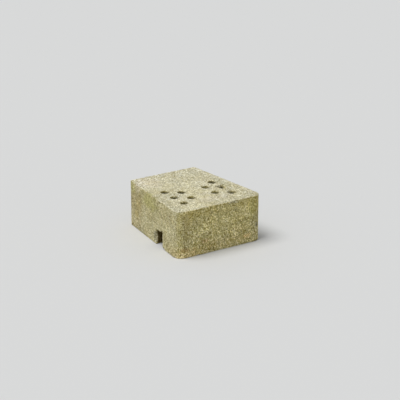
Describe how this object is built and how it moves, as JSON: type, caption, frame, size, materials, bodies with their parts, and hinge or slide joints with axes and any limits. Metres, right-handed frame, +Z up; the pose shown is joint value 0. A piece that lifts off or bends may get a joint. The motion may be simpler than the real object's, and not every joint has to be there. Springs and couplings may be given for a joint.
{
  "type": "concrete paver block",
  "caption": "Tapered concrete block with rounded front corners, staggered blind pin holes in its top and a pin groove across its underside.",
  "frame": {"origin": "middle of the underside, on the ground plane that the block stands on", "axes": "+X across the block, to the right of someone facing the wide front face; +Y from the wide front face to the narrow back face; +Z up from the grooved underside to the face with the pin holes"},
  "size_m": [0.2452, 0.27, 0.12],
  "materials": {
    "concrete": "dry, sandy, open-grained cast concrete"
  },
  "bodies": {
    "root": {"block": "concrete"}
  },
  "joints": []
}
